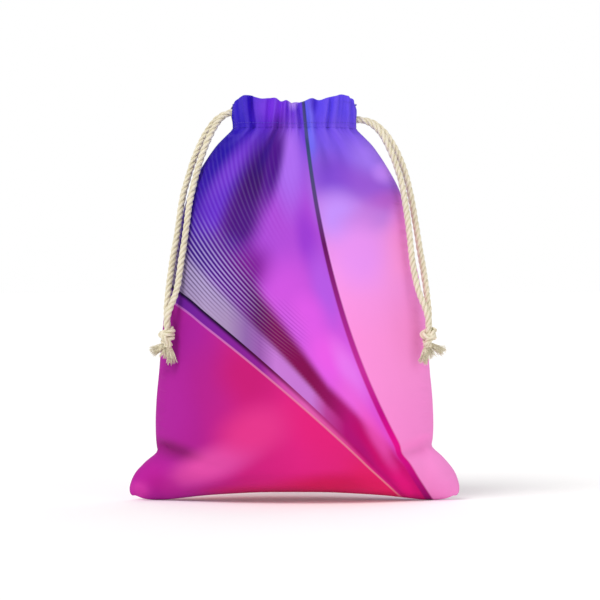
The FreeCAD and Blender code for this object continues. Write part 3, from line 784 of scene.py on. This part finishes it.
def layPrint(mesh, x, z, fold):
    # the print's three fields, its drawn lines and its ribs, laid out over the cloth, and the fold depth
    # that the material turns into painted shade and painted highlight
    rise = z / bag["printHeight"]
    fan = blendStops(rise, [(0.0, "DC30A8"), (0.16, "E24CCC"), (0.32, "D85CE0"), (0.5, "C050D8"),
                            (0.64, "9440CC"), (0.78, "6A34C8"), (0.92, "4A26CC"), (1.0, "3A1CCC")])
    right = blendStops(rise, [(0.0, "F08ACC"), (0.14, "F78FD4"), (0.4, "F892DA"), (0.56, "F296E6"),
                              (0.66, "D68AE6"), (0.76, "A66EE0"), (0.86, "7656DE"), (1.0, "4432E0")])
    lower = blendStops(x * 1.6 + 0.5, [(0.04, "AC2098"), (0.22, "AE2090"), (0.36, "C8207E"),
                                       (0.52, "DC2482"), (0.72, "DE2474"), (0.9, "D81C60")])
    fan = blotted(fan, x, z, fanPatches)
    right = blotted(right, x, z, rightPatches)
    lower = blotted(lower, x, z, lowerPatches)

    # the overlap's edge bends a little, and two bands follow it inside the fan, narrowing to the right
    along = x + 0.2
    over = z - (0.372 - 0.767 * along - 0.359 * along ** 2)
    pale = over + 0.0235 - 0.045 * (x + 0.1)
    inward = over / np.clip(0.0335 - 0.17 * x, 0.0235, 0.075)
    deep = blendStops(x, [(-0.2, "5A3A9A"), (-0.16, "6234A0"), (-0.1, "741C8E"), (-0.066, "5A0850"),
                          (-0.033, "7A0448"), (0.03, "7C0444"), (0.064, "8C0A56"), (0.1, "B00A70"),
                          (0.15, "C8086E")])
    mist = blendStops(x, [(-0.2, "9686A8"), (-0.16, "AC98BC"), (-0.12, "A68EB6"), (-0.085, "9066AA"),
                          (-0.06, "9A5CAE"), (-0.033, "C47AD4"), (0.03, "C676D2"), (0.056, "B84098"),
                          (0.09, "B01074")])
    deepShare = (0.97 * (1 - smoothStep(2.1, 3.1, inward)) * smoothStep(-0.19, -0.1, x))[:, None]
    mistShare = (0.96 * (1 - smoothStep(0.8, 1.3, inward)))[:, None]
    for band, weight in ((deep, deepShare), (mist, mistShare)):
        fan = fan * (1 - weight) + band * weight
    fan = blotted(fan, x, z, cornerPatches)

    # the long drawn line runs from the hem down to the right corner
    run = 1 - z / 0.715
    lineAt = 0.0154 + 0.061 * run + 0.095 * run ** 2 + 0.072 * run ** 3
    drop = np.maximum(0.648 - z, 0)
    plain = np.ones((2, len(x)))
    for *zone, light, dark in ribZones:
        plain *= 1 - np.outer((light, dark), softSpot(x, z, *zone))
    values = {
        "lineSide": (x - lineAt) / (0.003 + 0.0042 * run), "overlapSide": over, "paleSide": pale,
        "ribPhase": 2 * math.pi * (x - 1.75 * drop ** 2) / 0.0084, "foldShade": fold,
        "ribLight": 1 - plain[0], "ribDark": 1 - plain[1]}
    for label, value in values.items():
        mesh.attributes.new(label, "FLOAT", "POINT").data.foreach_set("value", value.astype(np.float32))
    for label, colours in (("fanColour", fan), ("rightColour", right), ("lowerColour", lower)):
        field = mesh.attributes.new(label, "FLOAT_COLOR", "POINT")
        field.data.foreach_set("color", colours.astype(np.float32).reshape(-1))


def gridFaces(rows, columns, keep=None, flip=False):
    # four-cornered faces between neighbouring rows and columns of points
    faces = []
    for row in range(rows - 1):
        for column in range(columns - 1):
            if keep is None or keep(row, column):
                a = row * columns + column
                quad = (a, a + 1, a + 1 + columns, a + columns)
                faces.append(quad[::-1] if flip else quad)
    return np.array(faces)


def thicken(piece, label, **settings):
    bpy.ops.object.select_all(action="DESELECT")
    bpy.context.view_layer.objects.active = piece
    piece.select_set(True)
    wall = piece.modifiers.new(label, "SOLIDIFY")
    for name, value in settings.items():
        setattr(wall, name, value)
    bpy.ops.object.modifier_apply(modifier=label)


def clothPiece(name, grid, printed, layer, keep=None):
    # the sheet, with its print and its threads laid out on it, then its thickness turned inwards
    rows, columns = grid.shape[:2]
    steps = np.linalg.norm(np.diff(grid, axis=0), axis=2)
    down = np.concatenate([np.zeros((1, columns)), np.cumsum(steps, axis=0)])
    across = np.linspace(-0.5, 0.5, columns)[None, :] * bag["flatWidth"] + np.zeros((rows, 1))
    faces = gridFaces(rows, columns, keep, layer == "back")
    used = np.unique(faces)
    mesh = bpy.data.meshes.new(name)
    mesh.from_pydata(grid.reshape(-1, 3)[used].tolist(), [], np.searchsorted(used, faces).tolist())
    picture = printed.reshape(-1, 3) * (-1 if layer == "back" else 1, 1, 1)
    threads = np.stack([across.reshape(-1), down.reshape(-1)], axis=1)
    for label, values in (("print", picture[:, :2]), ("threads", threads)):
        layFlat(mesh, label, values[faces.reshape(-1)])
    layPrint(mesh, *picture[used].T)
    piece = linkPiece(name, mesh, (printLook, backingLook))
    thicken(piece, "clothThickness", thickness=bag["clothThickness"], offset=-1, material_offset=1,
            material_offset_rim=1)
    return piece


def weaveBump(tree, threads):
    # plain weave, drawn at twice the real thread spacing so that it shows
    split = addNode(tree, "SeparateXYZ", {"Vector": threads})
    across, down = (waves(tree, split.outputs[axis], bag["threadSpacing"]) for axis in ("X", "Y"))
    weave = addNode(tree, "Math", {0: across, 1: down}, operation="MULTIPLY")
    slub = addNode(tree, "TexNoise", {"Vector": threads, "Scale": 420, "Detail": 3})
    height = addNode(tree, "Math", {0: slub.outputs["Fac"], 1: 0.8, 2: weave.outputs[0]},
                     operation="MULTIPLY_ADD")
    bump = addNode(tree, "Bump", {
        "Height": height.outputs[0], "Strength": 0.16, "Distance": 0.0002})
    return bump.outputs["Normal"]


def wovenBacking():
    # the unprinted reverse of polyester cloth: off-white, with the colours faintly showing through
    material, tree, shader = newMaterial("unprintedPolyesterReverse")
    threads = addNode(tree, "UVMap", uv_map="threads").outputs["UV"]
    mottle = addNode(tree, "TexNoise", {"Vector": threads, "Scale": 14, "Detail": 3})
    colour = addNode(tree, "ValToRGB", {"Fac": mottle.outputs["Fac"]},
                     stops=[(0.3, "D9CFE0"), (0.7, "EFE9F2")])
    fillInputs(shader, {"Base Color": colour.outputs["Color"], "Normal": weaveBump(tree, threads),
                        "Roughness": 0.8})
    return material


def printedPolyester():
    # dye-printed woven polyester: a dull satin face carrying soft colour fields and two drawn sweeps
    material, tree, shader = newMaterial("printedPolyester")
    threads = addNode(tree, "UVMap", uv_map="threads").outputs["UV"]
    place = addNode(tree, "UVMap", uv_map="print").outputs["UV"]
    split = addNode(tree, "SeparateXYZ", {"Vector": place})
    read = {}
    for label in ("lineSide", "overlapSide", "paleSide", "ribPhase", "ribLight", "ribDark", "foldShade",
                  "fanColour", "rightColour", "lowerColour"):
        output = "Color" if label.endswith("Colour") else "Fac"
        read[label] = addNode(tree, "Attribute", attribute_name=label).outputs[output]
    ribs = addNode(tree, "Math", {0: read["ribPhase"]}, operation="SINE").outputs[0]
    nearPale = addNode(tree, "Math", {0: read["paleSide"]}, operation="ABSOLUTE").outputs[0]
    nearLine = addNode(tree, "Math", {0: read["lineSide"]}, operation="ABSOLUTE").outputs[0]
    aside = addNode(tree, "MapRange", {
        "Value": split.outputs["X"], "From Min": -0.25, "From Max": 0.25}).outputs["Result"]
    rise = addNode(tree, "MapRange", {
        "Value": split.outputs["Y"], "From Max": bag["printHeight"]}).outputs["Result"]
    ramps = {
        "band": (aside, [(0.05, "641E98"), (0.24, "7E2096"), (0.38, "8C2090"), (0.46, "CC48A8"),
                         (0.54, "DE5CB0"), (0.64, "DC4C9C"), (0.76, "DC2484"), (0.92, "DC1C90")]),
        "blackEdge": (aside, [(0.1, "12052E"), (0.3, "1E0224"), (0.42, "5C0C44"), (0.55, "B03C88"),
                              (0.72, "B00A6C"), (0.9, "C80C74")]),
        "paleLine": (aside, [(0.08, "C870CC"), (0.4, "DE7EA8"), (0.8, "E88C98")]),
        "lineInk": (rise, [(0, "8C0468"), (0.06, "B80478"), (0.14, "E80890"), (0.22, "C00888"),
                           (0.32, "C42C98"), (0.44, "A02488"), (0.54, "801C70"), (0.62, "60145C"),
                           (0.7, "5C3A78"), (0.82, "3C4C74"), (0.97, "1C3050")]),
    }
    for label, (value, stops) in ramps.items():
        read[label] = addNode(tree, "ValToRGB", {"Fac": value}, stops=stops).outputs["Color"]

    # each layer: what it covers, what is read, where it starts, where it is full, how much, and its colour
    layers = [
        ("fan", ribs, -0.2, 0.9, read["ribLight"], tint("B6A8DE")),
        ("fan", ribs, -0.1, -0.9, read["ribDark"], tint("240E6C")),
        ("whole", read["paleSide"], -0.001, 0.001, 1, read["band"]),
        ("whole", nearPale, 0.0034, 0.0012, 0.7, read["paleLine"]),
        ("whole", read["overlapSide"], -0.012, -0.0016, 1, read["blackEdge"]),
        ("whole", read["overlapSide"], -0.0008, 0.0008, 1, "fan"),
        ("whole", read["lineSide"], -0.2, 0.2, 1, read["rightColour"]),
        ("whole", nearLine, 1.25, 0.55, 1, read["lineInk"]),
        # painted shade darkens the fold valleys, and a painted highlight lightens the fold ridges
        ("whole", read["foldShade"], 0.1, 1, 0.66, tint("200880")),
        ("whole", read["foldShade"], -0.15, -0.75, 0.14, tint("9A78F6")),
    ]
    picture = {"fan": read["fanColour"], "whole": read["lowerColour"]}
    for target, value, low, high, share, over in layers:
        weight = addNode(tree, "MapRange", {
            "Value": value, "From Min": low, "From Max": high, "To Max": share},
            interpolation_type="SMOOTHSTEP").outputs["Result"]
        over = picture["fan"] if over == "fan" else over
        picture[target] = addNode(tree, "Mix", {0: weight, 6: picture[target], 7: over},
                                  data_type="RGBA").outputs[2]
    fillInputs(shader, {"Base Color": picture["whole"], "Normal": weaveBump(tree, threads),
                        "Roughness": 0.62, "Sheen Weight": 0.02, "Sheen Roughness": 0.45,
                        "Specular IOR Level": 0.05})
    return material


printLook = printedPolyester()
backingLook = wovenBacking()


def buildCloth():
    for layer in ("front", "back"):
        grid, printed = panelGrid(layer)
        panel = clothPiece(f"{layer}_cloth_panel", grid, printed, layer)
        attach(panel, "bag")
        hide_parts(f"{layer}_panel")
        hem, hemPrint, facing = hemGrid(layer)

        def keep(row, column):
            # the facing is left out at both ends of the mouth, where the channel is open
            x, y, z = hem[row, column]
            return not (facing[row] and abs(x) > hemShape["facingHalfWidth"] and z < hemShape["facingRim"])
        casing = clothPiece(f"{layer}_hem", hem, hemPrint, layer, keep)
        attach(casing, "bag")
        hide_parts(f"{layer}_hem_casing")
        area = sum(p.area for p in panel.data.polygons) / 2
        hemArea = sum(p.area for p in casing.data.polygons) / 2
        print(layer, "panel area", round(area, 3), "hem area", round(hemArea, 4), "triangles",
              len(panel.data.polygons) * 2, len(casing.data.polygons) * 2)


buildCloth()
print("cloth ready")


sewing = {
    "stitchLength": 0.0034, "stitchStep": 0.0052, "threadRadius": 0.0005, "threadTwist": 0.0009,
    "hemRow": 5, "markStep": 0.0004, "endMarks": 20,
    "tackHeights": (0.6715, 0.7108), "tackStrokes": 22, "tackHalfWidth": 0.0085,
}
allowance = {
    "width": 0.011, "thickness": 0.0012, "insideSeam": 0.0045, "aboveSeam": 0.0035, "flutter": 0.001,
    "loopSpacing": 0.003, "sideFrom": 0.03, "sideTo": 0.64, "bottomHalf": 0.224, "sideSteps": 220,
    "bottomSteps": 170, "columns": 6,
}


def sewingThread():
    # violet spun polyester thread, two plies twisted, with a faint gloss along each stitch
    material, tree, shader = newMaterial("spunPolyesterThread")
    place = addNode(tree, "UVMap", uv_map="alongCord").outputs["UV"]
    split = addNode(tree, "SeparateXYZ", {"Vector": place})
    phase = addNode(tree, "Math", {
        0: split.outputs["X"], 1: 1 / sewing["threadTwist"], 2: split.outputs["Y"]},
        operation="MULTIPLY_ADD")
    twist = waves(tree, phase.outputs[0], 1)
    shade = addNode(tree, "MapRange", {"Value": twist, "From Min": -1})
    # painted shade: the ramp darkens the troughs of the twist wave that also makes the bump, the grooves
    # between the plies
    colour = addNode(tree, "ValToRGB", {"Fac": shade.outputs["Result"]},
                     stops=[(0.1, "3A22A8"), (0.8, "6A50DC")])
    bump = addNode(tree, "Bump", {"Height": twist, "Strength": 0.4, "Distance": 0.0001})
    fillInputs(shader, {"Base Color": colour.outputs["Color"], "Normal": bump.outputs["Normal"],
                        "Roughness": 0.5})
    return material


def overlockedEdge():
    # raw cloth edge bound by pale overlock thread, whose loops lean across it
    material, tree, shader = newMaterial("overlockedPolyesterEdge")
    place = addNode(tree, "UVMap", uv_map="threads").outputs["UV"]
    split = addNode(tree, "SeparateXYZ", {"Vector": place})
    slant = addNode(tree, "Math", {0: split.outputs["X"], 1: 0.5, 2: split.outputs["Y"]},
                    operation="MULTIPLY_ADD")
    loop = waves(tree, slant.outputs[0], allowance["loopSpacing"])
    shade = addNode(tree, "MapRange", {"Value": loop, "From Min": -1})
    colour = addNode(tree, "ValToRGB", {"Fac": shade.outputs["Result"]},
                     stops=[(0.25, "C9B8D6"), (0.6, "F1ECF4")])
    bump = addNode(tree, "Bump", {"Height": loop, "Strength": 0.5, "Distance": 0.0003})
    fillInputs(shader, {"Base Color": colour.outputs["Color"], "Normal": bump.outputs["Normal"],
                        "Roughness": 0.75})
    return material


threadLook = sewingThread()
overlockLook = overlockedEdge()


def addStitch(shell, line, lane):
    # one stitch, thickest in the middle and pulled thin at its two needle holes
    radii = np.array([0.55, 1.0, 1.1, 1.0, 0.55]) * sewing["threadRadius"]
    middle = np.broadcast_to(line.mean(axis=0), (5, 3))
    addTube(shell, evenLine(line, np.linalg.norm(line[-1] - line[0]) / 4)[:5], radii, 6, lane, axis=middle)


def buildStitches():
    for layer, side in (("front", -1), ("back", 1)):
        row = evenLine(hemGrid(layer)[0][sewing["hemRow"]], sewing["markStep"])
        away = np.stack([np.gradient(row[:, 1]), -np.gradient(row[:, 0]), np.zeros(len(row))], axis=1)
        away /= np.maximum(np.linalg.norm(away, axis=1), 1e-9)[:, None]
        away *= np.where((away[:, 1] * side > 0), 1, -1)[:, None]
        shell = newShell()
        stride = round(sewing["stitchStep"] / sewing["markStep"])
        length = round(sewing["stitchLength"] / sewing["markStep"])
        last = len(row) - length - sewing["endMarks"]
        # each stitch dips into the cloth at its ends and stands off it in the middle
        arch = np.array([-0.0002, 0.00025, 0.00035, 0.00025, -0.0002])[:, None]
        for number, start in enumerate(range(sewing["endMarks"], last, stride)):
            part = np.arange(start, start + length + 1, length // 4)[:5]
            addStitch(shell, row[part] + away[part] * arch, float(number))
        stitches = shellPiece(f"{layer}_hem_stitches", shell, threadLook)
        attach(stitches, "bag")
        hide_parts(f"{layer}_hem_stitching")

    # bar tacks: short upright strokes side by side across each side seam, below and above the cord's hole
    shell = newShell()
    for sign in (-1, 1):
        for height in sewing["tackHeights"]:
            x, y = rowShape(height, 1.0)
            half = x * sign > 0
            order = np.argsort(y[half])
            depths, places = y[half][order], np.abs(x[half][order])
            reach = sewing["tackHalfWidth"]
            for stroke, middle in enumerate(np.linspace(-reach, reach, sewing["tackStrokes"])):
                ys = middle + np.array([-0.0004, -0.0002, 0, 0.0002, 0.0004])
                xs = np.interp(np.abs(ys), depths, places) + np.array([-1, 3, 4, 3, -1]) * 0.0001
                zs = height + np.array([-0.0015, -0.0008, 0, 0.0008, 0.0015])
                addStitch(shell, np.stack([sign * xs, ys, zs], axis=1), float(stroke))
    tacks = shellPiece("side_bar_tack_threads", shell, threadLook)
    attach(tacks, "bag")
    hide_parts("side_bar_tacks")


def buildAllowances():
    # narrow doubled strips of cloth inside the side and bottom seams
    width = allowance["width"]
    across = np.linspace(0, width, allowance["columns"])
    for name, node, sign in (("left", "left_side_seam", -1), ("right", "right_side_seam", 1),
                             ("bottom", "bottom_seam", 0)):
        if name == "bottom":
            along = np.linspace(-allowance["bottomHalf"], allowance["bottomHalf"], allowance["bottomSteps"])
            level = np.zeros(len(along))
            edge = np.stack([along, level, seamHeight(np.abs(along)) + allowance["aboveSeam"]], axis=1)
            inward = (0, 0, 1)
        else:
            along = np.linspace(allowance["sideFrom"], allowance["sideTo"], allowance["sideSteps"])
            reach = halfWidth(along, sign > 0) - allowance["insideSeam"]
            edge = np.stack([sign * reach, np.zeros(len(along)), along], axis=1)
            inward = (-sign, 0, 0)
        grid = edge[:, None] + across[None, :, None] * np.array(inward)
        ripple = np.sin(along[:, None] * 190 + across[None, :] * 60)
        grid[:, :, 1] += allowance["flutter"] * ripple * across[None, :] / width
        faces = gridFaces(len(along), len(across))
        mesh = bpy.data.meshes.new(f"{name}_seam_strip")
        mesh.from_pydata(grid.reshape(-1, 3).tolist(), [], faces.tolist())
        layout = np.stack([np.tile(across, len(along)), np.repeat(along, len(across))], axis=1)
        layFlat(mesh, "threads", layout[faces.reshape(-1)])
        strip = linkPiece(f"{name}_seam_strip", mesh, [overlockLook])
        thicken(strip, "doubledCloth", thickness=allowance["thickness"], offset=0)
        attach(strip, "bag")
        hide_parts(node)


buildStitches()
buildAllowances()
# the cords' runs inside the hem keep their own shape and get the cotton's look
for side in ("left", "right"):
    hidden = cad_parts[f"{side}_cord_in_casing"]
    hidden.data.materials.clear()
    hidden.data.materials.append(plainCotton())
print("sewing ready")
